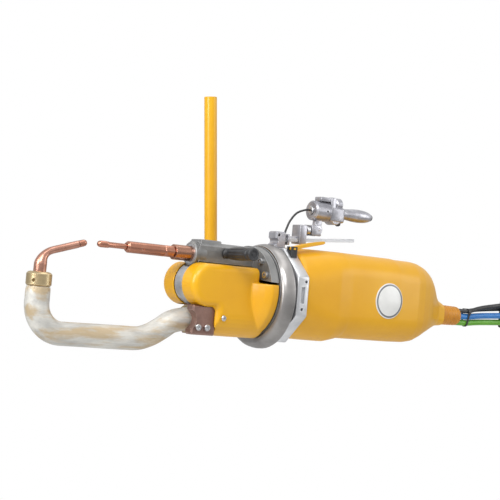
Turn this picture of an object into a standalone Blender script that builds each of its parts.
"""Suspended manual spot welder: a transformer gun held in a swivel ring on one side arm. Metres, +Z up.

The welding axis runs along X, electrodes towards -X, supply leads towards +X. The frame's origin is the
middle of the hanger rod's flat top. Sizes below are given in the gun's own frame, whose origin is the
middle of the transformer's axis at the ring, and every piece is moved by SHIFT when it is placed.
"""

import math

import bmesh
import bpy
from mathutils import Matrix, Vector

# ---------------------------------------------------------------- driving sizes
# Clearances.
GAP = 0.0003
SLIDE_FIT = 0.0004

# Welding axis: height over the gun's middle, and where each turned piece starts.
ROD_Z = 0.068
STROKE = 0.026
TIP_X = -0.4127
CAP_D, CAP_LEN = 0.014, 0.021
SHANK_D, SHANK_LEN = 0.0118, 0.047
HOLDER_D, HOLDER_LEN = 0.0245, 0.092
UNION_D, UNION_LEN = 0.0275, 0.024
SLEEVE_D, SLEEVE_LEN = 0.0330, 0.150
PISTON_ROD_D = 0.022

# Swivel ring.
RING_X, RING_W = 0.0090, 0.033
RING_R, RING_IN_R = 0.117, 0.1025
RING_DROP = 0.009
BEARING_R = 0.0972
BARREL_R, BARREL_IN_R = 0.0965, 0.0890
BOSS_D = 0.040

# Hanger.
HANGER_Y = 0.192
HANGER_LEAN = math.radians(6.2)
HANGER_D, HANGER_WALL = 0.0300, 0.003
HANGER_RISE = 0.4480
HUB_D, HUB_W = 0.058, 0.036
PIVOT_D = 0.020

# Flange and rear cover.
FLANGE_X0, FLANGE_X1 = 0.030, 0.061
FLANGE_HALF_W, FLANGE_HALF_H, FLANGE_Z = 0.112, 0.1045, -0.003
COVER_X0, COVER_X1 = 0.0615, 0.560
COVER_HALF_W, COVER_TOP, COVER_BOTTOM = 0.105, 0.1045, -0.0985
COVER_ROUND, LEAST_FLAT = 0.056, 0.004
COVER_WALL = 0.0035
CYLINDER_D, CYLINDER_LEN = 0.058, 0.135

# Rod guide.
GUIDE_X0, GUIDE_X1 = -0.176, -0.0115
GUIDE_HALF_W, GUIDE_Z0, GUIDE_Z1 = 0.0240, 0.0475, 0.0960
GUIDE_PLATE_X0 = -0.030

# Front cover.
NOSE_X, NOSE_Z, NOSE_R = -0.2105, 0.005, 0.0480
FRONT_HALF_W, FRONT_BOTTOM = 0.064, -0.1045
FRONT_X1 = -0.0118
LOWER_X0 = -0.143
BAND_HALF_W = 0.0155
FRONT_WALL = 0.003
SIDE_ROUND = 0.014
COVER_LIFT = 0.0505
SKIRT_R, SKIRT_X0, SKIRT_TOP = 0.1013, -0.062, 0.017

# Lower arm.
ARM_D = 0.050
ARM_X, ARM_TOP_Z, ARM_LOW_Z, ARM_BEND_R = -0.538, -0.030, -0.1210, 0.060
CLAMP_X0, CLAMP_X1, CLAMP_HALF_W, CLAMP_FAR = -0.197, -0.1365, 0.050, 0.031
CLAMP_Z0, CLAMP_Z1, CLAMP_AXIS_Z = -0.1035, -0.0402, -0.0715
NUT_H, NUT_D, NUT_HOLE_TURN = 0.030, 0.052, math.radians(-50)
COLLAR_X, COLLAR_TILT = -0.178, math.radians(5)

# Side handle.
SIDE_X, SIDE_Z = -0.108, 0.0760
SIDE_GRIP_D, SIDE_GRIP_LEN = 0.028, 0.072

# Rail and trigger handle.
RAIL_X0, RAIL_X1, RAIL_W, RAIL_H = 0.058, 0.263, 0.024, 0.008
RAIL_Z, RAIL_SLOPE = 0.1175, 0.086
LINK_X, LINK_Z = 0.1560, 0.1545
BARREL_X, BARREL_Z, HANDLE_BARREL_D, HANDLE_BARREL_LEN = 0.160, 0.1975, 0.046, 0.046
GRIP_X0, GRIP_X1, GRIP_D = 0.222, 0.316, 0.031
TRIGGER_CABLE_D, CABLE_X, PLATE_H = 0.005, 0.0670, 0.0176

# Supply leads.
BOOT_X1, BOOT_Z, BOOT_D = 0.624, -0.015, 0.049
LEAD_END_X = 0.800
HOSE_D, CABLE_D = 0.0150, 0.0105

# The middle of the hanger rod's top, in the gun's frame.
HANGER_FOOT = Vector((RING_X, HANGER_Y, 0.0))
HANGER_DIR = Vector((-math.sin(HANGER_LEAN), 0.0, math.cos(HANGER_LEAN)))
HANGER_TOP = HANGER_FOOT + HANGER_RISE * HANGER_DIR
SHIFT = -HANGER_TOP

for old in list(bpy.data.objects):
    bpy.data.objects.remove(old)
PARTS = bpy.data.collections.new("spot_welder")
CUTTERS = bpy.data.collections.new("cutters")
CUTTERS.hide_render = True
bpy.context.scene.collection.children.link(PARTS)
bpy.context.scene.collection.children.link(CUTTERS)


# ---------------------------------------------------------------- tools
def material(name, colour, rough, metal):
    made = bpy.data.materials.new(name)
    made.use_nodes = True
    shader = made.node_tree.nodes["Principled BSDF"]
    shader.inputs["Base Color"].default_value = (*colour, 1.0)
    shader.inputs["Roughness"].default_value = rough
    shader.inputs["Metallic"].default_value = metal
    return made


FINISH = {
    "yellow": ((0.80, 0.42, 0.03), 0.35, 0.0),
    "grey": ((0.33, 0.34, 0.35), 0.45, 0.6),
    "bright": ((0.72, 0.73, 0.75), 0.3, 0.9),
    "steel": ((0.55, 0.56, 0.57), 0.3, 1.0),
    "copper": ((0.62, 0.30, 0.20), 0.3, 1.0),
    "bronze": ((0.22, 0.12, 0.10), 0.4, 0.8),
    "brass": ((0.55, 0.42, 0.20), 0.35, 1.0),
    "cast": ((0.50, 0.47, 0.40), 0.6, 0.4),
    "black": ((0.02, 0.02, 0.022), 0.5, 0.0),
    "blue": ((0.02, 0.13, 0.45), 0.45, 0.0),
    "green": ((0.02, 0.28, 0.10), 0.45, 0.0),
    "badge": ((0.80, 0.80, 0.78), 0.35, 0.0),
}


def bake(obj):
    """The object's finished shape as one welded mesh, with its own transform taken in."""
    bpy.context.view_layer.update()
    graph = bpy.context.evaluated_depsgraph_get()
    mesh = bpy.data.meshes.new_from_object(obj.evaluated_get(graph))
    mesh.transform(obj.matrix_world)
    work = bmesh.new()
    work.from_mesh(mesh)
    bmesh.ops.remove_doubles(work, verts=work.verts, dist=1e-6)
    bmesh.ops.recalc_face_normals(work, faces=work.faces)
    work.to_mesh(mesh)
    work.free()
    bpy.data.objects.remove(obj)
    return mesh


def node(name, mesh, finish, angle=35):
    """Places a finished mesh as a named piece in its own material."""
    mesh.transform(Matrix.Translation(SHIFT))
    mesh.name = name
    mesh.materials.clear()
    mesh.materials.append(material(name, *FINISH[finish]))
    mesh.shade_smooth()
    mesh.set_sharp_from_angle(angle=math.radians(angle))
    obj = bpy.data.objects.new(name, mesh)
    PARTS.objects.link(obj)
    return obj


def helper(name, mesh):
    mesh.transform(Matrix.Translation(SHIFT))
    obj = bpy.data.objects.new(name, mesh)
    obj.display_type = "WIRE"
    obj.hide_render = True
    CUTTERS.objects.link(obj)
    return obj


def combine(obj, operation, *meshes, solver="EXACT"):
    """Adds one Boolean per mesh."""
    for number, mesh in enumerate(meshes, 1):
        other = helper(f"{obj.name}_{operation.lower()}_{len(obj.modifiers) + number}", mesh)
        step = obj.modifiers.new(other.name, "BOOLEAN")
        step.operation = operation
        step.solver = solver
        step.object = other
    return obj


def step(obj, operation, other):
    """Adds one Boolean with a shape that has its own steps."""
    added = obj.modifiers.new(other.name, "BOOLEAN")
    added.operation = operation
    added.solver = "MANIFOLD"
    added.object = other
    return obj


def loose(data):
    obj = bpy.data.objects.new("work", data)
    bpy.context.scene.collection.objects.link(obj)
    return obj


def box(x0, x1, y0, y1, z0, z1, round_edges=0.0, segments=2):
    """A block between two corners, its edges rounded if asked."""
    work = bmesh.new()
    bmesh.ops.create_cube(work, size=1.0)
    bmesh.ops.scale(work, verts=work.verts, vec=(x1 - x0, y1 - y0, z1 - z0))
    bmesh.ops.translate(work, verts=work.verts, vec=((x0 + x1) / 2, (y0 + y1) / 2, (z0 + z1) / 2))
    mesh = bpy.data.meshes.new("work")
    work.to_mesh(mesh)
    work.free()
    return rounded(mesh, round_edges, segments) if round_edges else mesh


def rounded(mesh, width, segments=2, angle=30):
    obj = loose(mesh)
    bevel = obj.modifiers.new("bevel", "BEVEL")
    bevel.width = width
    bevel.segments = segments
    bevel.limit_method = "ANGLE"
    bevel.angle_limit = math.radians(angle)
    return bake(obj)


def turned(profile, axis="Z", at=(0, 0, 0), steps=24):
    """Spins (radius, height) points round the axis through a point; heights run along the axis."""
    points = list(profile)
    closed = points[0][0] > 1e-6 and points[-1][0] > 1e-6
    mesh = bpy.data.meshes.new("work")
    edges = [(i, i + 1) for i in range(len(points) - 1)]
    if closed:
        edges.append((len(points) - 1, 0))
    mesh.from_pydata([(r, 0.0, h) for r, h in points], edges, [])
    obj = loose(mesh)
    screw = obj.modifiers.new("turn", "SCREW")
    screw.steps = steps
    screw.render_steps = steps
    screw.use_merge_vertices = True
    screw.merge_threshold = 1e-5
    turn = {"X": Matrix.Rotation(math.pi / 2, 4, "Y"), "Y": Matrix.Rotation(-math.pi / 2, 4, "X")}
    obj.matrix_world = Matrix.Translation(at) @ turn.get(axis, Matrix.Identity(4))
    return bake(obj)


def rod(radius, low, high, axis="X", at=(0, 0, 0), steps=24, chamfer=0.0):
    """A plain round bar between two heights along its axis."""
    c = chamfer
    if c:
        points = [(0, high), (radius - c, high), (radius, high - c), (radius, low + c), (radius - c, low), (0, low)]
    else:
        points = [(0, high), (radius, high), (radius, low), (0, low)]
    return turned(points, axis, at, steps)


def pipe(radius, inner, low, high, axis="X", at=(0, 0, 0), steps=28, chamfer=0.0):
    c = chamfer
    points = [(inner, high), (radius - c, high), (radius, high - c), (radius, low + c), (radius - c, low), (inner, low)]
    if not c:
        points = [(inner, high), (radius, high), (radius, low), (inner, low)]
    return turned(points, axis, at, steps)


def flat(outline, low, high, axis="Y"):
    """A closed outline as a plate: (x, z) points for axis Y, (y, z) for axis X, (x, y) for axis Z."""
    data = bpy.data.curves.new("work", "CURVE")
    data.dimensions = "2D"
    data.fill_mode = "BOTH"
    data.extrude = (high - low) / 2
    spline = data.splines.new("POLY")
    spline.points.add(len(outline) - 1)
    for point, (a, b) in zip(spline.points, outline):
        point.co = (a, b, 0.0, 1.0)
    spline.use_cyclic_u = True
    obj = loose(data)
    middle = (low + high) / 2
    frames = {
        "Y": Matrix(((1, 0, 0, 0), (0, 0, 1, middle), (0, 1, 0, 0), (0, 0, 0, 1))),
        "X": Matrix(((0, 0, 1, middle), (1, 0, 0, 0), (0, 1, 0, 0), (0, 0, 0, 1))),
        "Z": Matrix.Translation((0, 0, middle)),
    }
    obj.matrix_world = frames[axis]
    return bake(obj)


def tube(points, diameter, sides=2):
    """A round solid cord along a line of points."""
    data = bpy.data.curves.new("work", "CURVE")
    data.dimensions = "3D"
    data.bevel_depth = diameter / 2
    data.bevel_resolution = sides
    data.use_fill_caps = True
    spline = data.splines.new("POLY")
    spline.points.add(len(points) - 1)
    for point, co in zip(spline.points, points):
        point.co = (*co, 1.0)
    return bake(loose(data))


def arc(cx, cz, radius, start, end, count):
    """Points on a circle between two angles in degrees."""
    angles = [math.radians(start + (end - start) * i / (count - 1)) for i in range(count)]
    return [(cx + radius * math.cos(a), cz + radius * math.sin(a)) for a in angles]


def smooth_line(points, per_span):
    """Evenly sampled points on a smooth curve through the given ones."""
    knots = [Vector(p) for p in points]
    ends = [2 * knots[0] - knots[1], *knots, 2 * knots[-1] - knots[-2]]
    line = []
    for a, b, c, d in zip(ends, ends[1:], ends[2:], ends[3:]):
        for i in range(per_span):
            t = i / per_span
            line.append(
                0.5 * (2 * b + (c - a) * t + (2 * a - 5 * b + 4 * c - d) * t**2 + (3 * b - a - 3 * c + d) * t**3)
            )
    return [*line, knots[-1]]


# ---------------------------------------------------------------- hanger
def hanger():
    """Straight tube with a plugged flat top, ending in a hub on the ring's far side."""
    foot = HANGER_FOOT
    lean = Matrix.Translation(foot) @ Matrix.Rotation(-HANGER_LEAN, 4, "Y")
    low = HUB_D / 2 - 0.004

    bore = HANGER_D / 2 - HANGER_WALL
    tube_shape = turned([(bore, HANGER_RISE), (HANGER_D / 2, HANGER_RISE), (HANGER_D / 2, low), (bore, low)])
    tube_shape.transform(lean)
    rod_piece = node("hanger_rod", tube_shape, "yellow")

    hub = pipe(HUB_D / 2, PIVOT_D / 2 + GAP, -HUB_W / 2, HUB_W / 2, "Y", foot, 24, 0.003)
    cheek = rod(HANGER_D / 2 + GAP, 0.0, HUB_D, "Z")
    cheek.transform(lean @ Matrix.Translation((0, 0, low - GAP)))
    socket = pipe(HANGER_D / 2 + 0.006, HANGER_D / 2 + GAP, low + 0.002, low + 0.040, "Z", steps=24)
    socket.transform(lean)
    hub_piece = node("hanger_hub", hub, "yellow")
    combine(hub_piece, "DIFFERENCE", cheek)
    combine(hub_piece, "UNION", socket)

    plug = turned(
        [(0, HANGER_RISE), (bore - GAP, HANGER_RISE), (bore - GAP, HANGER_RISE - 0.030), (0, HANGER_RISE - 0.030)]
    )
    plug.transform(lean)
    plug_piece = node("hanger_plug", plug, "steel")

    near = -(HUB_W / 2 + 0.040)
    far = HUB_W / 2 + GAP
    bolt = turned(
        [
            (0, far + 0.012), (0.013, far + 0.012), (0.015, far + 0.010), (0.015, far),
            (PIVOT_D / 2, far), (PIVOT_D / 2, near), (0, near),
        ],
        "Y", foot, 24,
    )
    bolt_piece = node("pivot_bolt", bolt, "steel")
    return [rod_piece, hub_piece, plug_piece, bolt_piece]


# ---------------------------------------------------------------- swivel ring
def swivel_ring():
    """Rounded band, thicker below than above, with a boss for the hanger's pivot, and its bearing liner."""
    x0, x1 = RING_X - RING_W / 2, RING_X + RING_W / 2
    band = turned(
        [
            (0, x1), (RING_R - 0.004, x1), (RING_R, x1 - 0.004), (RING_R, x1 - 0.012),
            (RING_R - 0.0025, x0 + 0.010), (RING_R - 0.007, x0 + 0.003), (RING_R - 0.012, x0), (0, x0),
        ],
        "X", (0, 0, -RING_DROP), 56,
    )
    ring = node("swivel_ring", band, "grey")
    hub_face = HANGER_Y - HUB_W / 2 - GAP
    boss = rod(BOSS_D / 2, RING_R - 0.030, hub_face, "Y", (RING_X, 0, 0), 24)
    bore = rod(RING_IN_R, x0 - 0.01, x1 + 0.01, "X", (0, 0, 0), 56)
    hole = rod(PIVOT_D / 2 + GAP, HANGER_Y - HUB_W / 2 - 0.042, hub_face + 0.01, "Y", (RING_X, 0, 0), 24)
    combine(ring, "UNION", boss, solver="MANIFOLD")
    combine(ring, "DIFFERENCE", bore, hole, solver="MANIFOLD")

    liner = pipe(RING_IN_R - GAP, BEARING_R, x0 + 0.003, x1 - 0.004, "X", (0, 0, 0), 48)
    return [ring, node("ring_bearing", liner, "bronze")]


# ---------------------------------------------------------------- gun frame
def octagon(half_w, half_h, z):
    ky, kz = half_w * math.tan(math.pi / 8), half_h * math.tan(math.pi / 8)
    return [
        (half_w, z - kz), (half_w, z + kz), (ky, z + half_h), (-ky, z + half_h),
        (-half_w, z + kz), (-half_w, z - kz), (-ky, z - half_h), (ky, z - half_h),
    ]


def gun_flange():
    """Eight-sided mounting plate with the bearing barrel that turns in the ring."""
    plate = rounded(flat(octagon(FLANGE_HALF_W, FLANGE_HALF_H, FLANGE_Z), FLANGE_X0, FLANGE_X1, "X"), 0.003)
    flange = node("gun_flange", plate, "bright")
    front = RING_X - RING_W / 2 + 0.001
    barrel = rod(BARREL_R, front, FLANGE_X0 + 0.004, "X", (0, 0, 0), 48)
    shoulder = rod(BARREL_R + 0.0045, RING_X + RING_W / 2 + 0.0005, FLANGE_X0 + 0.004, "X", (0, 0, 0), 48)
    combine(flange, "UNION", barrel, shoulder, solver="MANIFOLD")
    through = rod(BARREL_IN_R, front - 0.01, FLANGE_X0 + 0.007, "X", (0, 0, 0), 48)
    rear = box(FLANGE_X0 - 0.001, FLANGE_X1 + 0.01, -0.070, 0.070, -0.070, 0.045)
    bore = rod(PISTON_ROD_D / 2 + SLIDE_FIT, FLANGE_X0 - 0.01, FLANGE_X1 + 0.01, "X", (0, 0, ROD_Z), 24)
    combine(flange, "DIFFERENCE", through, rear, bore, solver="MANIFOLD")
    slot = box(FLANGE_X0 + 0.010, FLANGE_X0 + 0.020, -FLANGE_HALF_W - 0.01, -FLANGE_HALF_W + 0.006, -0.018, 0.018)
    holes = [
        rod(0.0035, -FLANGE_HALF_W - 0.01, -FLANGE_HALF_W + 0.012, "Y", (x, 0, z), 16)
        for x, z in ((FLANGE_X0 + 0.022, 0.030), (FLANGE_X0 + 0.015, -0.031))
    ]
    combine(flange, "DIFFERENCE", slot, *holes, solver="MANIFOLD")

    x0 = RING_X - RING_W / 2
    keeper = pipe(RING_IN_R - 0.0012, BARREL_IN_R + 0.001, x0 - 0.0015, x0 + 0.001 - GAP, "X", (0, 0, 0), 48)
    keeper_piece = node("bearing_keeper", keeper, "bright")
    return [flange, keeper_piece]


def rod_guide():
    """Cast block that carries the sliding sleeve, with a rounded plate bolted inside the ring."""
    w = GUIDE_HALF_W
    section = [
        (-w, GUIDE_Z0 + 0.006), (-w, GUIDE_Z1 - 0.008), (-w + 0.008, GUIDE_Z1),
        (w - 0.008, GUIDE_Z1), (w, GUIDE_Z1 - 0.008), (w, GUIDE_Z0 + 0.006), (w - 0.006, GUIDE_Z0), (-w + 0.006, GUIDE_Z0),
    ]
    body = flat(section, GUIDE_X0, GUIDE_PLATE_X0 + 0.004, "X")
    guide = node("rod_guide", body, "grey")
    lift = box(GUIDE_X0 + 0.004, GUIDE_X0 + 0.058, -w + 0.003, w - 0.003, GUIDE_Z1 - 0.01, GUIDE_Z1 + 0.005, 0.003)
    mouth = rod(0.0262, GUIDE_X0 - 0.010, GUIDE_X0 + 0.020, "X", (0, 0, ROD_Z), 32, 0.002)
    rim = BARREL_IN_R - 0.001
    plate_shape = [(-0.040, 0.028), (0.040, 0.028), *arc(0, 0, rim, 25, 155, 17)]
    plate = flat(plate_shape, GUIDE_PLATE_X0, RING_X - RING_W / 2 + 0.012, "X")
    cap_rim = RING_IN_R - 0.003
    cap_shape = [(-0.044, 0.027), (0.044, 0.027), *arc(0, 0, cap_rim, 13, 167, 21)]
    cap = flat(cap_shape, GUIDE_PLATE_X0 - 0.002, RING_X - RING_W / 2 - 0.0045, "X")
    combine(guide, "UNION", lift, mouth, plate, cap, solver="MANIFOLD")
    bore = rod(SLEEVE_D / 2 + SLIDE_FIT, GUIDE_X0 - 0.03, 0.05, "X", (0, 0, ROD_Z), 32)
    recess = rod(0.0222, GUIDE_X0 - 0.02, GUIDE_X0 - 0.002, "X", (0, 0, ROD_Z), 32)
    stud = rod(0.0062, -w - 0.01, -w + 0.006, "Y", (SIDE_X, 0, SIDE_Z), 16)
    combine(guide, "DIFFERENCE", bore, recess, stud, solver="MANIFOLD")
    screws = []
    front = GUIDE_PLATE_X0 - 0.002
    for number, (y, z) in enumerate(((-0.0555, 0.0660), (-0.0775, 0.0370)), 1):
        well = rod(0.0032 + GAP, front - 0.01, front + 0.010, "X", (0, y, z), 16)
        combine(guide, "DIFFERENCE", well, solver="MANIFOLD")
        head = turned(
            [
                (0, front + 0.009), (0.0032, front + 0.009), (0.0032, front - GAP), (0.0075, front - GAP),
                (0.0075, front - 0.0075), (0.0040, front - 0.0080), (0.0035, front - 0.003), (0, front - 0.003),
            ],
            "X", (0, y, z), 20,
        )
        screws.append(node(f"guide_screw_{number}", head, "steel"))
    return [guide, *screws]


def wiper():
    """Light scraper ring in the guide's mouth."""
    x = GUIDE_X0 - 0.010
    ring = pipe(0.0222 - GAP, SLEEVE_D / 2 + SLIDE_FIT, x + 0.0005, x + 0.008 - GAP, "X", (0, 0, ROD_Z), 32)
    return [node("rod_wiper", ring, "bright")]


def side_handle():
    """Black knob handle screwed square into the guide's near face."""
    face = -GUIDE_HALF_W
    at = (SIDE_X, 0, SIDE_Z)
    stud = turned(
        [
            (0, face + 0.004), (0.0058, face + 0.004), (0.0058, face - GAP), (0.010, face - GAP), (0.0115, face - 0.003),
            (0.0115, face - 0.008), (0.0095, face - 0.0105), (0.0065, face - 0.012), (0.0065, face - 0.0185),
            (0.0045, face - 0.0185), (0.0045, face - 0.075), (0, face - 0.075),
        ],
        "Y", at, 24,
    )
    stud_piece = node("side_handle_stud", stud, "black")
    a = face - 0.0185 - GAP
    b = a - SIDE_GRIP_LEN
    r = SIDE_GRIP_D / 2
    grip = turned(
        [
            (0.0045 + GAP, a), (0.008, a), (r - 0.0035, a - 0.004), (r - 0.001, a - 0.012), (r, a - 0.024),
            (r, b + 0.022), (r - 0.0015, b + 0.008), (r - 0.003, b), (0.0045 + GAP, b),
        ],
        "Y", at, 24,
    )
    grip_piece = node("side_grip", grip, "black")
    for i in range(6):
        angle = math.radians(30 + 60 * i)
        x, z = SIDE_X + (r + 0.0008) * math.cos(angle), SIDE_Z + (r + 0.0008) * math.sin(angle)
        combine(grip_piece, "DIFFERENCE", rod(0.002, b + 0.010, a - 0.012, "Y", (x, 0, z), 8))
    c = b - GAP
    cap = turned(
        [
            (0, c), (r - 0.002, c), (r, c - 0.002), (r, c - 0.012), (r - 0.002, c - 0.014), (r - 0.005, c - 0.014),
            (r - 0.006, c - 0.012), (0.004, c - 0.012), (0.003, c - 0.0135), (0, c - 0.0135),
        ],
        "Y", at, 24,
    )
    return [stud_piece, grip_piece, node("side_grip_cap", cap, "black")]


# ---------------------------------------------------------------- front cover
def cover_side(inset, rear=FRONT_X1):
    """The front cover's outline seen from the side, shrunk by an inset except where it meets the ring."""
    i = inset
    top = COVER_LIFT - i
    nose = NOSE_R - i
    centre = NOSE_X + NOSE_R
    start = math.degrees(math.asin(min(1.0, (top - NOSE_Z) / nose)))
    foot = NOSE_Z - nose
    outline = [(rear, top), *arc(centre, NOSE_Z, nose, 180 - start, 270, 15)]
    outline += [(LOWER_X0 - 0.006 + i, foot), (LOWER_X0 + i, foot - 0.006)]
    outline += arc(LOWER_X0 + 0.030, FRONT_BOTTOM + 0.030, 0.030 - i, 180, 270, 7)
    outline += [(rear, FRONT_BOTTOM + i)]
    return outline


def cover_section(inset, side):
    """The same cover's outline seen from the front, one half, with a large round towards the ring."""
    w = FRONT_HALF_W - inset
    low = FRONT_BOTTOM + inset
    big = 0.050 - inset
    inner = BAND_HALF_W + GAP if not inset else -0.05
    outline = [(inner, 0.15), (w, 0.15), (w, low + big)]
    outline += arc(w - big, low + big, big, 0, -90, 9)[1:]
    outline += [(inner, low)]
    return [(side * y, z) for y, z in outline]


def cover_bulk(side, inset, inner, rear):
    """One half of the front cover as a solid whose outer edges are rounded off."""
    w = FRONT_HALF_W - inset
    rows = [(inner, inset)]
    for k in range(5):
        turn = math.radians(22.5 * k)
        rows.append((w - SIDE_ROUND * (1 - math.sin(turn)), inset + SIDE_ROUND * (1 - math.cos(turn))))
    return loft([[(x, side * y, z) for x, z in cover_side(i, rear)] for y, i in rows])


def skirt(side, inset, rear):
    """Round flare that fills the ring's opening below the guide plate, on one side of the middle plate."""
    r = SKIRT_R - inset
    ahead = -inset * 0.3
    shape = turned(
        [
            (0, rear), (r, rear), (r, -0.028 - ahead), (r - 0.003, -0.033 - ahead), (r - 0.011, -0.042 - ahead),
            (r - 0.024, -0.052 - ahead), (r - 0.040, SKIRT_X0 - ahead), (0, SKIRT_X0 - ahead),
        ],
        "X", (0, 0, 0), 48,
    )
    low, high = sorted((side * (BAND_HALF_W + GAP if not inset else -0.02), side * 0.12))
    return shape, box(SKIRT_X0 - 0.02, 0.06, low, high, -0.12, SKIRT_TOP - inset)


def front_cover_half(name, side):
    """One hollow half of the yellow front cover, open towards the middle plate and the ring."""
    shape, window = skirt(side, 0.0, FRONT_X1)
    flare = helper(name + "_flare", shape)
    combine(flare, "INTERSECT", window, solver="MANIFOLD")
    half = node(name, cover_bulk(side, 0.0, BAND_HALF_W + GAP, FRONT_X1), "yellow")
    section = flat(cover_section(0.0, side), NOSE_X - 0.05, FRONT_X1 + 0.02, "X")
    combine(half, "INTERSECT", section, solver="MANIFOLD")
    step(half, "UNION", flare)
    shape, window = skirt(side, FRONT_WALL, FRONT_X1 + 0.02)
    hollow_flare = helper(name + "_hollow_flare", shape)
    combine(hollow_flare, "INTERSECT", window, solver="MANIFOLD")
    hollow = helper(name + "_hollow", cover_bulk(side, FRONT_WALL, -0.02, FRONT_X1 + 0.02))
    section = flat(cover_section(FRONT_WALL, side), NOSE_X - 0.05, FRONT_X1 + 0.03, "X")
    combine(hollow, "INTERSECT", section, solver="MANIFOLD")
    step(hollow, "UNION", hollow_flare)
    step(half, "DIFFERENCE", hollow)
    return half


def front_cover():
    near = front_cover_half("front_cover_near", -1)
    far = front_cover_half("front_cover_far", 1)
    # The guide plate and its screws pass the covers through a notch beside the ring.
    for half, side in ((near, -1), (far, 1)):
        low, high = sorted((side * 0.010, side * 0.085))
        combine(half, "DIFFERENCE", box(GUIDE_PLATE_X0 - 0.010, 0.02, low, high, 0.0195, 0.10), solver="MANIFOLD")
        block = box(GUIDE_X0 - 0.001, 0.02, -GUIDE_HALF_W - 0.0006, GUIDE_HALF_W + 0.0006, GUIDE_Z0 - 0.0006, 0.12)
        combine(half, "DIFFERENCE", block, solver="MANIFOLD")
    # The lower arm's clamp fills the step under the nose.
    clamp_room = (CLAMP_X0 - 0.02, CLAMP_X1 + GAP, -CLAMP_HALF_W - GAP, CLAMP_HALF_W + GAP, CLAMP_Z0 - 0.02, CLAMP_Z1 + 0.0005)
    for half in (near, far):
        combine(half, "DIFFERENCE", box(*clamp_room), solver="MANIFOLD")
    plate_outline = cover_side(0.0025)
    plate = rounded(flat(plate_outline, -BAND_HALF_W, BAND_HALF_W, "Y"), 0.0015, 1, 50)
    frame = node("front_frame", plate, "bright")
    combine(frame, "DIFFERENCE", box(*clamp_room))
    combine(frame, "DIFFERENCE", box(GUIDE_PLATE_X0 - 0.010, 0.05, -0.05, 0.05, 0.0225, 0.10))
    combine(frame, "DIFFERENCE", box(GUIDE_X0 - 0.001, 0.05, -0.05, 0.05, GUIDE_Z0 - 0.0006, 0.10))
    combine(frame, "DIFFERENCE", box(FRONT_X1, 0.05, -0.05, 0.05, -0.15, 0.10))
    relief = rod(SLEEVE_D / 2 + 0.012, NOSE_X - 0.02, GUIDE_X0 + 0.004, "X", (0, 0, ROD_Z), 32)
    mouth = rod(0.0262 + GAP, GUIDE_X0 - 0.012, GUIDE_X0 + 0.021, "X", (0, 0, ROD_Z), 32)
    combine(frame, "DIFFERENCE", relief, mouth)
    for half in (near, far):
        mouth = rod(0.0262 + 0.0005, NOSE_X - 0.05, GUIDE_X0 + 0.021, "X", (0, 0, ROD_Z), 32)
        combine(half, "DIFFERENCE", mouth, solver="MANIFOLD")
    x, z = LOWER_X0 + 0.0165, -0.0640
    side = -FRONT_HALF_W
    screw = turned(
        [
            (0, side + 0.012), (0.0025, side + 0.012), (0.0025, side - GAP), (0.0062, side - GAP),
            (0.0062, side - 0.0018), (0.0045, side - 0.0035), (0.0022, side - 0.0035), (0.0018, side - 0.0015), (0, side - 0.0015),
        ],
        "Y", (x, 0, z), 20,
    )
    combine(near, "DIFFERENCE", rod(0.0025 + GAP, side - 0.01, side + 0.02, "Y", (x, 0, z), 16), solver="MANIFOLD")
    return [near, far, frame, node("cover_screw", screw, "steel")]


# ---------------------------------------------------------------- lower arm
def arm_line():
    """Middle line of the lower arm: down from the nut, forward bend, level run, rise into the clamp."""
    line = [(ARM_X, ARM_TOP_Z)]
    line += arc(ARM_X + ARM_BEND_R, ARM_LOW_Z + ARM_BEND_R, ARM_BEND_R, 180, 270, 8)
    end = CLAMP_X1 - 0.004
    knots = [(-0.40, ARM_LOW_Z), (-0.335, ARM_LOW_Z), (-0.297, ARM_LOW_Z + 0.001), (-0.268, ARM_LOW_Z + 0.010)]
    knots += [(-0.243, ARM_LOW_Z + 0.024), (-0.219, CLAMP_AXIS_Z - 0.0100), (-0.194, CLAMP_AXIS_Z - 0.0030)]
    knots += [(COLLAR_X, CLAMP_AXIS_Z - 0.0005), (-0.160, CLAMP_AXIS_Z), (end, CLAMP_AXIS_Z)]
    rise = smooth_line([(x, 0.0, z) for x, z in knots], 2)
    line += [(p.x, p.z) for p in rise]
    return [(x, 0.0, z) for x, z in line]


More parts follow.
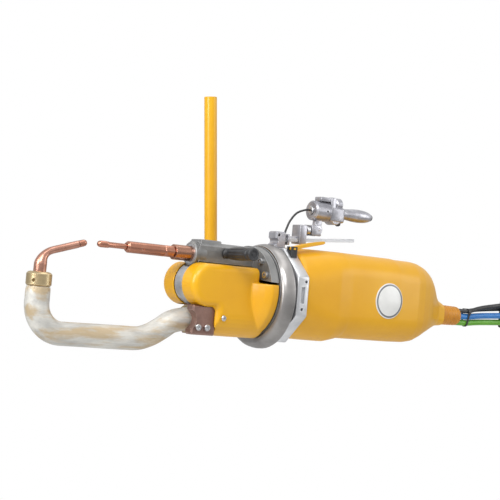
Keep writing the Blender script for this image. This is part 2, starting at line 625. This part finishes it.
def lower_arm():
    arm = node("lower_arm", tube(arm_line(), ARM_D, 6), "cast")

    x0, x1, w = CLAMP_X0, CLAMP_X1, CLAMP_HALF_W
    body = box(x0, x1, -w, CLAMP_FAR, CLAMP_Z0, CLAMP_Z1, 0.003, 1)
    clamp = node("arm_clamp", body, "bronze")
    waist = rod(0.024, -w - 0.01, w + 0.01, "Y", (x0 - 0.0125, 0, CLAMP_AXIS_Z), 28)
    back = rod(0.016, -w - 0.01, w + 0.01, "Y", (x1 + 0.0125, 0, CLAMP_AXIS_Z), 20)
    path = [*arm_line(), (x1 - 0.003, 0.0, CLAMP_AXIS_Z)]
    slit = box(x0 - 0.01, x1 + 0.01, -0.0015, 0.0015, CLAMP_Z0 - 0.01, CLAMP_AXIS_Z - ARM_D / 2 + 0.003)
    far_corner = box(x0 - 0.01, COLLAR_X + 0.010, -ARM_D / 2 - 0.002, w + 0.01, CLAMP_Z0 - 0.01, CLAMP_Z1 + 0.01)
    combine(clamp, "DIFFERENCE", far_corner)
    combine(clamp, "DIFFERENCE", waist, back, tube(path, ARM_D + 0.0014, 6), slit)
    pieces = [arm, clamp]
    face = -w
    z = CLAMP_Z0 + 0.0165
    for number, x in enumerate((x0 + 0.0145, x1 - 0.0235), 1):
        combine(clamp, "DIFFERENCE", rod(0.003 + GAP, face - 0.01, face + 0.024, "Y", (x, 0, z), 16))
        screw = turned(
            [
                (0, face + 0.022), (0.003, face + 0.022), (0.003, face - GAP), (0.0070, face - GAP),
                (0.0070, face - 0.006), (0.0060, face - 0.007), (0.0034, face - 0.007), (0.0030, face - 0.003), (0, face - 0.003),
            ],
            "Y", (x, 0, z), 20,
        )
        pieces.append(node(f"clamp_screw_{number}", screw, "steel"))

    seat_at = Matrix.Translation((COLLAR_X, 0, CLAMP_AXIS_Z - 0.0005)) @ Matrix.Rotation(-COLLAR_TILT, 4, "Y")
    collar = pipe(ARM_D / 2 + 0.0050, ARM_D / 2 + 0.0012, -0.003, 0.003, "X", (0, 0, 0), 32)
    collar.transform(seat_at)
    pieces.append(node("arm_collar", collar, "brass"))
    room = pipe(ARM_D / 2 + 0.0054, ARM_D / 2 - 0.004, -0.012, 0.0033, "X", (0, 0, 0), 32)
    room.transform(seat_at)
    combine(clamp, "DIFFERENCE", room)

    at = (ARM_X, 0, ARM_TOP_Z + GAP)
    seat = turned(
        [
            (0, NUT_H), (0.0185, NUT_H), (NUT_D / 2 - 0.003, NUT_H - 0.0015), (NUT_D / 2, NUT_H - 0.005),
            (NUT_D / 2, 0.004), (NUT_D / 2 - 0.002, 0.0015), (0.022, 0.0), (0, 0.0),
        ],
        "Z", at, 32,
    )
    nut = node("arm_nut", seat, "brass")
    hole = rod(0.004, -NUT_D, -NUT_D / 2 + 0.008, "Y", (0, 0, ARM_TOP_Z + 0.012), 16)
    hole.transform(Matrix.Translation((ARM_X, 0, 0)) @ Matrix.Rotation(NUT_HOLE_TURN, 4, "Z"))
    notch = box(ARM_X + NUT_D / 2 - 0.004, ARM_X + NUT_D, -0.009, 0.009, ARM_TOP_Z - 0.01, ARM_TOP_Z + NUT_H * 0.8)
    well = rod(0.0135, 0.020, 0.05, "Z", at, 32)
    combine(nut, "DIFFERENCE", hole, notch, well)
    return [*pieces, nut]


def lower_electrode():
    """Tapering copper post bent over to point back at the upper cap."""
    foot = ARM_TOP_Z + 0.020 + 2 * GAP
    tip = Vector((TIP_X - STROKE, 0.0, ROD_Z))
    lean = math.radians(17)
    back = Vector((-math.cos(lean), 0.0, -math.sin(lean)))
    cap_end = tip + back * 0.018
    line = [
        (ARM_X, 0.0, foot), (ARM_X, 0.0, foot + 0.018), (ARM_X + 0.001, 0.0, 0.020), (ARM_X + 0.006, 0.0, 0.032),
        (ARM_X + 0.018, 0.0, 0.0425), tuple(cap_end + back * 0.040), tuple(cap_end + back * 0.012),
    ]
    points = smooth_line(line, 3)
    data = bpy.data.curves.new("work", "CURVE")
    data.dimensions = "3D"
    data.bevel_depth = 0.013
    data.bevel_resolution = 3
    data.use_fill_caps = True
    spline = data.splines.new("POLY")
    spline.points.add(len(points) - 1)
    last = len(points) - 1
    for number, (point, co) in enumerate(zip(spline.points, points)):
        along = number / last
        thin = min(1.0, max(0.0, (along - 0.25) / 0.40))
        point.co = (*co, 1.0)
        point.radius = 1.0 - 0.42 * thin * thin * (3 - 2 * thin)
    post = node("lower_electrode", bake(loose(data)), "copper")
    turn = Matrix.Rotation(math.pi / 2 - lean, 4, "Y")
    taper = turned([(0, 0.013), (0.0050, 0.013), (0.0054, 0.0), (0.0054, -0.018), (0, -0.018)], "Z", (0, 0, 0), 24)
    taper.transform(Matrix.Translation(cap_end) @ turn)
    neck = turned([(0, -0.0015), (0.0074, -0.0015), (0.0076, -0.016), (0, -0.016)], "Z", (0, 0, 0), 24)
    neck.transform(Matrix.Translation(cap_end) @ turn)
    combine(post, "UNION", taper, neck)
    cap = turned(cap_profile(0.018, 0.0072), "Z", (0, 0, 0), 24)
    cap.transform(Matrix.Translation(cap_end) @ turn)
    return [post, node("lower_cap", cap, "copper")]


def cap_profile(length, radius):
    """Electrode cap from its flat nose down, with the tapered bore it seats on."""
    return [
        (0, length), (radius * 0.38, length), (radius * 0.66, length - 0.0012), (radius * 0.90, length - 0.004),
        (radius, length - 0.0075), (radius, 0.0), (0.0054 + GAP, 0.0), (0.0050 + GAP, 0.0132), (0, 0.0132),
    ]


# ---------------------------------------------------------------- moving rod
def moving_rod():
    """Everything the cylinder drives forward: piston rod, copper sleeve, holder, shank and cap."""
    at = (0, 0, ROD_Z)
    x = TIP_X
    cap = turned(cap_profile(CAP_LEN, CAP_D / 2), "X", (0, 0, 0), 24)
    cap.transform(Matrix.Translation((x + CAP_LEN, 0, ROD_Z)) @ Matrix.Rotation(math.pi, 4, "Y"))
    pieces = [node("upper_cap", cap, "copper")]

    x = TIP_X + CAP_LEN
    end = x + SHANK_LEN
    shank = turned(
        [
            (0, end + 0.020), (0.0050, end + 0.020), (0.0054, end - GAP), (SHANK_D / 2, end - GAP), (SHANK_D / 2, x + 0.006),
            (0.0068, x + 0.004), (0.0068, x + GAP), (0.0054, x + GAP), (0.0050, x - 0.0128), (0, x - 0.0128),
        ],
        "X", at, 24,
    )
    pieces.append(node("electrode_shank", shank, "copper"))

    x, end = end, end + HOLDER_LEN
    r = HOLDER_D / 2
    holder = turned(
        [
            (0, end + 0.026), (0.0085, end + 0.026), (0.0085, end - GAP), (r, end - GAP), (r, x + 0.004), (r - 0.003, x),
            (0.0054 + GAP, x), (0.0050 + GAP, x + 0.021), (0, x + 0.021),
        ],
        "X", at, 32,
    )
    holder_piece = node("electrode_holder", holder, "copper")
    dimple = rod(0.0030, -r - 0.01, -r + 0.002, "Y", (x + 0.036, 0, ROD_Z - 0.002), 14)
    combine(holder_piece, "DIFFERENCE", dimple)
    pieces.append(holder_piece)

    x, end = end, end + UNION_LEN
    corners = [(UNION_D / 2 * math.cos(math.radians(a)), ROD_Z + UNION_D / 2 * math.sin(math.radians(a))) for a in range(0, 360, 60)]
    union = node("union_nut", rounded(flat(corners, x, end - GAP, "X"), 0.0012, 1), "copper", 20)
    combine(union, "DIFFERENCE", rod(0.0085 + GAP, x - 0.01, end + 0.01, "X", at, 24))
    pieces.append(union)

    x, end = end - 0.006, end - 0.006 + SLEEVE_LEN
    r = SLEEVE_D / 2
    sleeve = turned(
        [
            (0, end), (r - 0.001, end), (r, end - 0.001), (r, x + 0.007), (r - 0.0015, x + 0.0063),
            (0.0120, x + 0.0063), (0.0085 + GAP, x + 0.0063), (0.0085 + GAP, x + 0.0285), (0, x + 0.0285),
        ],
        "X", at, 32,
    )
    pieces.append(node("rod_sleeve", sleeve, "copper"))

    x = end + GAP
    piston_x = COVER_X0 + 0.016 + STROKE + 0.020
    rod_shape = turned(
        [
            (0, piston_x + 0.018), (CYLINDER_D / 2 - 0.0045, piston_x + 0.018), (CYLINDER_D / 2 - 0.0045, piston_x),
            (PISTON_ROD_D / 2, piston_x), (PISTON_ROD_D / 2, x), (0, x),
        ],
        "X", at, 28,
    )
    pieces.append(node("piston_rod", rod_shape, "steel"))
    return pieces


def cylinder():
    """Air cylinder behind the flange, coaxial with the rod, in two pieces: tube with head, and rear lid."""
    x0 = COVER_X0 + 0.0005
    x1 = x0 + CYLINDER_LEN
    r = CYLINDER_D / 2
    tube_shape = turned(
        [
            (r - 0.004, x1), (r, x1), (r, x0), (PISTON_ROD_D / 2 + SLIDE_FIT, x0),
            (PISTON_ROD_D / 2 + SLIDE_FIT, x0 + 0.012), (r - 0.004, x0 + 0.012),
        ],
        "X", (0, 0, ROD_Z), 32,
    )
    lid = turned(
        [(0, x1 + 0.010), (r, x1 + 0.010), (r, x1 + GAP), (r - 0.0045, x1 + GAP), (r - 0.0045, x1 - 0.006), (0, x1 - 0.006)],
        "X", (0, 0, ROD_Z), 32,
    )
    return [node("cylinder_tube", tube_shape, "bright"), node("cylinder_lid", lid, "grey")]


def transformer():
    """Solid encapsulated transformer inside the rear cover."""
    x0, x1 = FLANGE_X1 + 0.012, 0.360
    body = node("transformer", box(x0, x1, -0.078, 0.078, -0.072, 0.030, 0.012, 1), "bronze")
    return [body]


# ---------------------------------------------------------------- rear cover
def station(x, half_w, top, bottom, corner):
    """One cross-section of the rear cover: a rounded rectangle with the same points on each corner."""
    ring = []
    for cy, cz, start in ((1, 1, 0), (-1, 1, 90), (-1, -1, 180), (1, -1, 270)):
        y = cy * (half_w - corner)
        z = (top - corner) if cz > 0 else (bottom + corner)
        ring += [(x, y + dy, z + dz) for dy, dz in arc(0, 0, corner, start, start + 90, 5)]
    return ring


def cover_stations(inset):
    """Cross-sections from the flange to the lead boot, shrunk by a wall thickness."""
    w, top, low = COVER_HALF_W, COVER_TOP, COVER_BOTTOM
    x0, x1 = COVER_X0, COVER_X1
    span = x1 - x0
    big = COVER_ROUND
    rows = [
        (0.000, w - 0.003, top - 0.002, low + 0.003, 0.094), (0.010, w, top, low, 0.092),
        (0.100, w, top + 0.0015, low - 0.001, 0.078), (0.195, w, top + 0.0015, low - 0.001, 0.064),
        (0.245, w - 0.002, top + 0.0015, low + 0.006, big), (0.265, w - 0.0025, top + 0.0015, low + 0.009, big),
        (0.560, w - 0.003, top + 0.001, low + 0.009, big), (0.590, w - 0.004, top - 0.0005, low + 0.009, big),
        (0.690, w - 0.008, top - 0.0005, low + 0.010, big), (0.740, w - 0.014, top - 0.002, low + 0.013, big),
        (0.790, w - 0.024, top - 0.008, low + 0.022, 0.052), (0.830, w - 0.034, top - 0.018, low + 0.031, 0.046),
        (0.864, w - 0.045, top - 0.033, low + 0.038, 0.038), (0.894, w - 0.056, top - 0.050, low + 0.044, 0.030),
        (0.920, w - 0.065, top - 0.066, low + 0.049, 0.024), (0.955, w - 0.074, top - 0.082, low + 0.055, 0.020),
        (1.000, w - 0.078, top - 0.092, low + 0.057, 0.018),
    ]
    shapes = []
    for number, (share, half_w, t, b, corner) in enumerate(rows):
        x = x0 + share * span
        if inset and number == 0:
            x -= 0.01
        if inset and number == len(rows) - 1:
            x += 0.01
        corner = min(corner, half_w - LEAST_FLAT, 0.5 * (t - b) - LEAST_FLAT)
        shapes.append(station(x, half_w - inset, t - inset, b + inset, max(0.006, corner - inset)))
    return shapes


def loft(rings):
    """Skins matching rings of points into one closed solid."""
    work = bmesh.new()
    rows = [[work.verts.new(p) for p in ring] for ring in rings]
    count = len(rows[0])
    for a, b in zip(rows, rows[1:]):
        for i in range(count):
            j = (i + 1) % count
            work.faces.new((a[i], a[j], b[j], b[i]))
    work.faces.new(rows[0][::-1])
    work.faces.new(rows[-1])
    bmesh.ops.recalc_face_normals(work, faces=work.faces)
    mesh = bpy.data.meshes.new("work")
    work.to_mesh(mesh)
    work.free()
    return mesh


def rear_cover():
    cover = node("rear_cover", loft(cover_stations(0.0)), "yellow")
    combine(cover, "DIFFERENCE", loft(cover_stations(COVER_WALL)))
    x, z = 0.306, 0.0055
    face = -COVER_HALF_W + 0.003
    badge = turned([(0, face - 0.0030), (0.0385, face - 0.0030), (0.041, face - 0.0018), (0.041, face - GAP), (0, face - GAP)], "Y", (x, 0, z), 48)
    return [cover, node("rear_badge", badge, "badge")]


def boot():
    """Moulded boot the leads leave through."""
    x0 = COVER_X1 + GAP
    at = (0, 0, BOOT_Z)
    r = BOOT_D / 2
    sleeve = turned(
        [
            (0, BOOT_X1), (r - 0.003, BOOT_X1), (r - 0.001, BOOT_X1 - 0.002), (r - 0.0015, x0 + 0.050), (r, x0), (0, x0),
        ],
        "X", at, 32,
    )
    piece = node("lead_boot", sleeve, "yellow")
    return [piece]


# ---------------------------------------------------------------- leads
def lead_path(y, z, end_y, end_z):
    """A lead's middle line from the boot's face to the far clip."""
    start = (BOOT_X1 + GAP, y, BOOT_Z + z)
    tie = (BOOT_X1 + 0.040, y, BOOT_Z + z)
    middle = (BOOT_X1 + 0.085, 0.5 * (y + end_y), BOOT_Z + 0.5 * (z + end_z))
    near_end = (LEAD_END_X - 0.015, end_y, BOOT_Z + end_z)
    end = (LEAD_END_X - GAP, end_y, BOOT_Z + end_z)
    return [Vector(start), *smooth_line([tie, middle, near_end], 4), Vector(end)]


LEADS = {
    "lead_black_a": ("black", CABLE_D, -0.0065, 0.0140, -0.010, 0.0390),
    "lead_black_b": ("black", CABLE_D, 0.0062, 0.0140, 0.010, 0.0275),
    "lead_blue": ("blue", HOSE_D, -0.0030, 0.0005, -0.006, 0.0110),
    "lead_green": ("green", HOSE_D, 0.0010, -0.0152, 0.002, -0.0065),
}


def leads():
    pieces = []
    for name, (finish, d, y, z, end_y, end_z) in LEADS.items():
        pieces.append(node(name, tube(lead_path(y, z, end_y, end_z), d, 2), finish))
    x = BOOT_X1 + 0.036
    band = pipe(0.0250, 0.0234, x - 0.0025, x + 0.0025, "X", (0, 0.0, BOOT_Z), 24)
    tie = node("lead_tie", band, "black")
    combine(tie, "UNION", box(x - 0.004, x + 0.004, -0.0300, -0.0240, BOOT_Z - 0.004, BOOT_Z + 0.004))
    pieces.append(tie)
    clip = box(LEAD_END_X + GAP, LEAD_END_X + 0.022, -0.022, 0.022, BOOT_Z - 0.020, BOOT_Z + 0.050, 0.005)
    pieces.append(node("lead_clip", clip, "black"))
    return pieces


# ---------------------------------------------------------------- rail and trigger handle
def rail_height(x):
    return RAIL_Z + (x - RAIL_X0) * RAIL_SLOPE


def rail():
    """Bracket on the flange and the inclined rail it carries."""
    w = RAIL_W / 2
    top = FLANGE_Z + FLANGE_HALF_H + GAP
    foot = box(0.0315, FLANGE_X1 - 0.001, -0.016, 0.016, top, 0.139, 0.003, 1)
    bracket = node("rail_bracket", foot, "bright")
    pocket = box(RAIL_X0 - 0.010, 0.08, -w - GAP, w + GAP, rail_height(RAIL_X0 - 0.01) - 0.0006, 0.15)
    notch = rod(0.007, -0.02, 0.02, "Y", (0.0315, 0, 0.117), 16)
    eye = rod(0.0035, -0.02, 0.02, "Y", (0.0395, 0, 0.131), 16)
    combine(bracket, "DIFFERENCE", pocket, notch, eye)

    x0, x1 = RAIL_X0 - 0.008, RAIL_X1
    outline = [(x0, rail_height(x0)), (x1, rail_height(x1)), (x1, rail_height(x1) + RAIL_H)]
    tooth = 0.0035
    x = x1 - 0.002
    for _ in range(10):
        outline += [(x, rail_height(x) + RAIL_H), (x - tooth / 2, rail_height(x) + RAIL_H - 0.0016)]
        x -= tooth
    outline += [(x, rail_height(x) + RAIL_H), (x0, rail_height(x0) + RAIL_H)]
    bar = node("handle_rail", flat(outline, -w, w, "Y"), "bright")
    return [bracket, bar]


def carriage():
    """Block that slides on the rail, with the cable's plate in front, a clamping washer and the fork for the link."""
    x0, x1 = 0.098, 0.118
    w = RAIL_W / 2
    low = rail_height(x0) - 0.0045
    block = box(x0, x1, -w - 0.004, w + 0.004, low, LINK_Z + 0.006, 0.002)
    shoe = node("rail_carriage", block, "bright")
    foot = CABLE_X - 0.0025
    low = rail_height(foot)
    upright = box(foot, foot + 0.005, -0.017, 0.017, low - 0.007, low + PLATE_H, 0.0012)
    strap_top = RAIL_H + 0.0048
    strap = flat(
        [
            (foot + 0.002, low + 0.004), (x0 + 0.003, rail_height(x0) + 0.004),
            (x0 + 0.003, rail_height(x0) + strap_top), (foot + 0.002, low + strap_top),
        ],
        -0.0085, 0.0085, "Y",
    )
    combine(shoe, "UNION", strap, upright)
    room = flat(
        [
            (foot - 0.02, rail_height(foot - 0.02) - GAP), (x1 + 0.02, rail_height(x1 + 0.02) - GAP),
            (x1 + 0.02, rail_height(x1 + 0.02) + RAIL_H + GAP), (foot - 0.02, rail_height(foot - 0.02) + RAIL_H + GAP),
        ],
        -w - GAP, w + GAP, "Y",
    )
    combine(shoe, "DIFFERENCE", room)
    z = LINK_Z - 0.004
    stem = rod(0.0055, x1 - 0.002, LINK_X - 0.0205, "X", (0, 0, z), 20)
    fork = box(LINK_X - 0.0215, LINK_X + 0.006, -0.013, 0.013, z - 0.011, z + 0.013, 0.002)
    combine(shoe, "UNION", stem, fork)
    slot = box(LINK_X - 0.0155, LINK_X + 0.03, -0.0072, 0.0072, z - 0.03, z + 0.03)
    pin_hole = rod(0.003 + GAP, -0.02, 0.02, "Y", (LINK_X, 0, LINK_Z), 16)
    combine(shoe, "DIFFERENCE", slot, pin_hole)
    knob = pipe(0.0125, 0.0055 + GAP, x1 + 0.004, x1 + 0.0145, "X", (0, 0, z), 28, 0.001)
    return [shoe, node("carriage_knob", knob, "steel")]


def link():
    """Cast link from the fork up to the handle's barrel, with the pin it turns on."""
    rise = Vector((BARREL_X, 0, BARREL_Z)) - Vector((LINK_X, 0, LINK_Z))
    eye = rod(0.0135, -0.0068, 0.0068, "Y", (LINK_X, 0, LINK_Z), 28, 0.001)
    piece = node("handle_link", eye, "bright")
    length = rise.length
    lean = math.atan2(rise.x, rise.z)
    web = box(-0.0095, 0.0095, -0.0066, 0.0066, 0.004, length - 0.014, 0.002)
    web.transform(Matrix.Translation((LINK_X, 0, LINK_Z)) @ Matrix.Rotation(lean, 4, "Y"))
    x0, x1 = BARREL_X - HANDLE_BARREL_LEN / 2, BARREL_X + HANDLE_BARREL_LEN / 2
    at = (0, 0, BARREL_Z)
    barrel = rod(HANDLE_BARREL_D / 2, x0, x1, "X", at, 24, 0.003)
    combine(piece, "UNION", web, barrel)
    well = rod(0.0105, x0 - 0.01, x0 + 0.010, "X", at, 24)
    grease = rod(0.0028, -HANDLE_BARREL_D / 2 - 0.004, -HANDLE_BARREL_D / 2 + 0.004, "Y", (BARREL_X + 0.008, 0, BARREL_Z), 12)
    combine(piece, "DIFFERENCE", well, grease)
    pin = rod(0.0030, -0.0145, 0.0145, "Y", (LINK_X, 0, LINK_Z), 16, 0.0005)
    combine(piece, "UNION", pin)
    plug = turned(
        [(0, x0 + 0.0095), (0.0100, x0 + 0.0095), (0.0100, x0 - 0.002), (0.0075, x0 - 0.004), (0.0, x0 - 0.004)], "X", at, 24
    )
    return [piece, node("cable_plug", plug, "steel")]


def handle():
    """Head with the push-button housing, the neck and the trigger grip."""
    x0 = BARREL_X + HANDLE_BARREL_LEN / 2 + GAP
    z = BARREL_Z
    neck = box(x0, GRIP_X0 + 0.004, -0.0165, 0.0165, z - 0.022, z + 0.014, 0.006, 3)
    head = node("handle_head", neck, "bright")
    top = z + 0.0205
    lobe = rod(0.0150, x0 + 0.016, x0 + 0.038, "X", (0, 0, top), 28, 0.004)
    mount = box(x0 - 0.0, x0 + 0.014, -0.0150, 0.0150, z + 0.004, top + 0.0145, 0.002)
    spine = box(x0 + 0.002, x0 + 0.034, -0.011, 0.011, z + 0.002, top + 0.010)
    bulge = rod(0.0165, -0.0145, 0.0145, "Y", (x0 + 0.0175, 0, z - 0.011), 24, 0.002)
    front = box(BARREL_X - 0.006, x0 + 0.006, -0.0125, 0.0125, BARREL_Z + 0.0235, top + 0.013, 0.002)
    combine(head, "UNION", mount, spine, lobe, bulge, front)
    r = GRIP_D / 2
    gx = GRIP_X0 + 0.004 + GAP
    grip = turned(
        [
            (0, GRIP_X1), (r * 0.52, GRIP_X1), (r * 0.66, GRIP_X1 - 0.003), (r * 0.78, GRIP_X1 - 0.010), (r * 0.92, GRIP_X1 - 0.026),
            (r, GRIP_X1 - 0.044), (r * 0.97, GRIP_X1 - 0.062), (r * 0.86, GRIP_X1 - 0.080), (r * 0.76, gx), (0, gx),
        ],
        "X", (0, 0, BARREL_Z + 0.001), 24,
    )
    slot = box(gx - 0.01, gx + 0.007, -0.0045, 0.0045, BARREL_Z - 0.03, BARREL_Z - 0.004)
    grip_piece = node("handle_grip", grip, "bright")
    combine(grip_piece, "DIFFERENCE", slot)
    cap = turned(
        [(0, GRIP_X1 + 0.003), (r * 0.36, GRIP_X1 + 0.003), (r * 0.48, GRIP_X1 + 0.0015), (r * 0.50, GRIP_X1 + GAP), (0, GRIP_X1 + GAP)],
        "X", (0, 0, BARREL_Z + 0.001), 28,
    )
    tx = gx - 0.010
    tz = BARREL_Z - 0.022
    pocket = box(tx - 0.007, gx + 0.01, -0.0045, 0.0045, tz - 0.01, tz + 0.0125)
    combine(head, "DIFFERENCE", pocket)
    lever = [(tx - 0.0035, tz + 0.0065), (tx - 0.0045, tz - 0.004), (tx + 0.002, tz - 0.0075), (tx + 0.0085, tz - 0.004), (tx + 0.0075, tz + 0.0065)]
    trigger = node("trigger", rounded(flat(lever, -0.004, 0.004, "Y"), 0.001, 1), "black")
    return [head, grip_piece, node("grip_cap", cap, "black"), trigger]


def control_cable():
    """Thin cable from the carriage's plate up in an arc to the plug in the handle's barrel."""
    x0 = BARREL_X - HANDLE_BARREL_LEN / 2 - 0.004
    foot = rail_height(CABLE_X - 0.0025) + PLATE_H
    knots = [
        (x0 - 0.003, 0, BARREL_Z), (x0 - 0.015, 0, BARREL_Z - 0.0018), (x0 - 0.037, 0, BARREL_Z - 0.0110),
        (x0 - 0.054, 0, BARREL_Z - 0.0300), (CABLE_X + 0.0028, 0, foot + 0.0120), (CABLE_X, 0, foot + 0.0030),
    ]
    line = [(x0 - GAP, 0, BARREL_Z), *smooth_line(knots, 4), (CABLE_X, 0, foot + GAP)]
    return [node("control_cable", tube(line, TRIGGER_CABLE_D, 2), "black")]


def brake_lever():
    """Yellow hand lever on a black pivot block beside the rail."""
    y0, y1 = -0.066, -0.054
    px, pz = 0.045, 0.1010
    block = box(px - 0.008, px + 0.008, y0 - 0.003, y1 + 0.003, pz - 0.028, pz + 0.005)
    pivot = node("brake_pivot", block, "black")
    ya, yb = y0 + 0.0005, y1 - 0.0005
    slot = box(px - 0.02, px + 0.02, ya - GAP, yb + GAP, pz - 0.0044, pz + 0.02)
    pin_hole = rod(0.0025 + GAP, y0 - 0.01, y1 + 0.01, "Y", (px, 0, pz), 14)
    combine(pivot, "DIFFERENCE", slot)
    seat = flat(octagon(FLANGE_HALF_W + 0.0005, FLANGE_HALF_H + 0.0005, FLANGE_Z), FLANGE_X0 - 0.01, FLANGE_X1 + 0.01, "X")
    combine(pivot, "DIFFERENCE", pin_hole)
    combine(pivot, "DIFFERENCE", seat)
    outline = [
        (px - 0.004, pz - 0.0015), (px - 0.001, pz - 0.0038), (px + 0.016, pz + 0.001), (px + 0.030, pz + 0.0050),
        (px + 0.084, pz + 0.0175), (px + 0.090, pz + 0.0215), (px + 0.086, pz + 0.0250), (px + 0.050, pz + 0.0185),
        (px + 0.016, pz + 0.010), (px - 0.003, pz + 0.0038),
    ]
    blade = node("brake_lever", rounded(flat(outline, ya, yb, "Y"), 0.001, 1), "yellow")
    pin = rod(0.0025, y0 - 0.0045, y1 + 0.0045, "Y", (px, 0, pz), 14)
    combine(blade, "UNION", pin)
    return [pivot, blade], (px, 0.5 * (y0 + y1), pz)


# ---------------------------------------------------------------- assembly
def body(name, at, pieces):
    """An empty on a joint's axis that carries the pieces of one moving body."""
    empty = bpy.data.objects.new(name, None)
    empty.location = Vector(at) + SHIFT
    PARTS.objects.link(empty)
    for piece in pieces:
        piece.parent = empty
        piece.matrix_parent_inverse = Matrix.Translation(-empty.location)
    return empty


hanger_pieces = hanger()
ring_pieces = swivel_ring()
gun_pieces = [
    *gun_flange(), *rod_guide(), *wiper(), *side_handle(), *front_cover(), *lower_arm(), *lower_electrode(),
    *cylinder(), *transformer(), *rear_cover(), *boot(), *leads(), *rail(),
]
rod_pieces = moving_rod()
carriage_pieces = carriage()
handle_pieces = [*link(), *handle()]
cable_pieces = control_cable()
lever_pieces, lever_at = brake_lever()
gun_pieces.append(lever_pieces[0])

body("hanger_body", HANGER_TOP, hanger_pieces)
body("ring_body", HANGER_FOOT, ring_pieces)
body("gun_body", (RING_X, 0, 0), gun_pieces)
body("rod_body", (TIP_X, 0, ROD_Z), rod_pieces)
body("carriage_body", (0.108, 0, rail_height(0.108)), [*carriage_pieces, *cable_pieces])
body("handle_body", (LINK_X, 0, LINK_Z), [p for p in handle_pieces if p.name != "trigger"])
body("trigger_body", (GRIP_X0 - 0.0057, 0, BARREL_Z - 0.022), [p for p in handle_pieces if p.name == "trigger"])
body("lever_body", lever_at, lever_pieces[1:])
